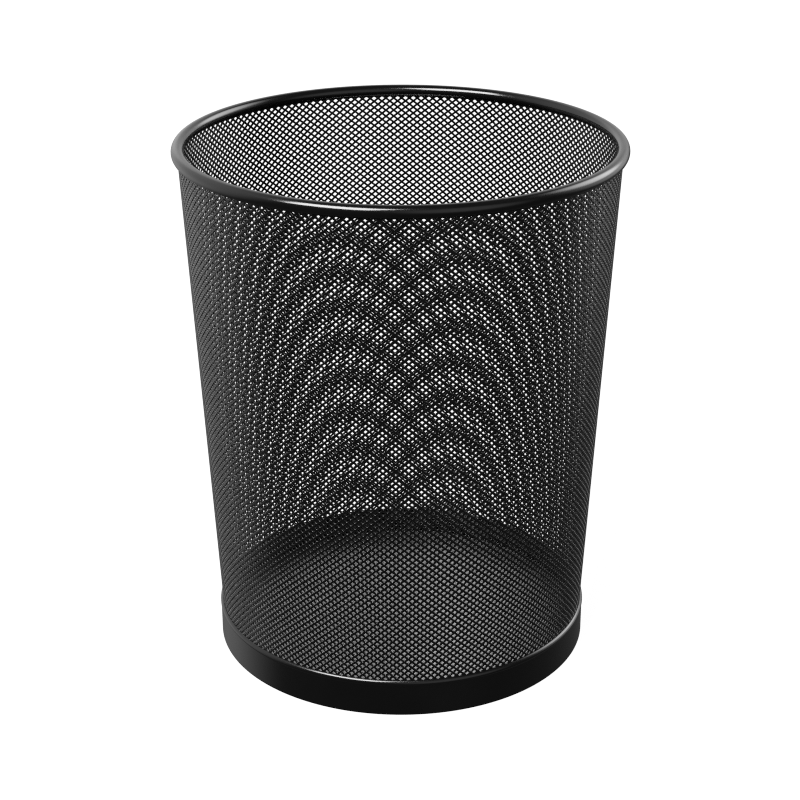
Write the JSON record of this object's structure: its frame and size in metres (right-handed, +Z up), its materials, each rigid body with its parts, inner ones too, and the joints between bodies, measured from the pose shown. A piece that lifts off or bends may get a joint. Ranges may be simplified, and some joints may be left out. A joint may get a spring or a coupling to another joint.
{
  "type": "wastebasket",
  "caption": "Round tapered wastebasket with an expanded steel mesh wall, a rolled tubular rim and a solid sheet-steel base.",
  "frame": {"origin": "centre of the ring that the basket stands on, at floor level", "axes": "+Z up along the basket's axis, from the base towards the open rim; X and Y are any two horizontal directions, as the basket is round"},
  "size_m": [0.295, 0.295, 0.3536],
  "materials": {
    "mesh_paint": "semi-gloss black powder coat on expanded steel",
    "rim_paint": "glossy black powder coat on rolled steel tube",
    "band_paint": "semi-gloss black powder coat on sheet steel",
    "floor_paint": "satin silver-grey coat on pressed sheet steel"
  },
  "bodies": {
    "root": {"mesh_wall": "mesh_paint", "rim_tube": "rim_paint", "base_band": "band_paint", "floor_pan": "floor_paint"}
  },
  "joints": []
}
